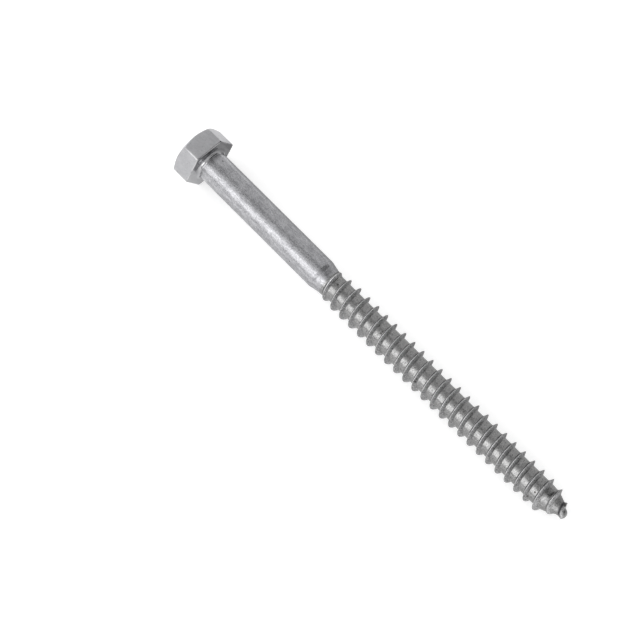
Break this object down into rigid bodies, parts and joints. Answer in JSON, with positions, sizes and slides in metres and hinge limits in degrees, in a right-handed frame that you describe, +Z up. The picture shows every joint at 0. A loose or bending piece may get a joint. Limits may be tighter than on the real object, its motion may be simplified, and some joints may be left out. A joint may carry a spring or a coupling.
{
  "type": "lag screw",
  "caption": "Hex-head lag screw with a smooth shank and a coarse wood thread that runs down to a gimlet point.",
  "frame": {"origin": "centre of the bounding box's bottom, on the surface the screw rests on", "axes": "+X along the screw from its head to its point, +Z up; the screw's axis tilts 1.13 degrees down towards +X because the head is wider than the thread"},
  "size_m": [0.1415, 0.0166, 0.0145],
  "materials": {
    "steel": "satin zinc-plated steel, slightly mottled"
  },
  "bodies": {
    "root": {"lag_screw": "steel"}
  },
  "joints": []
}
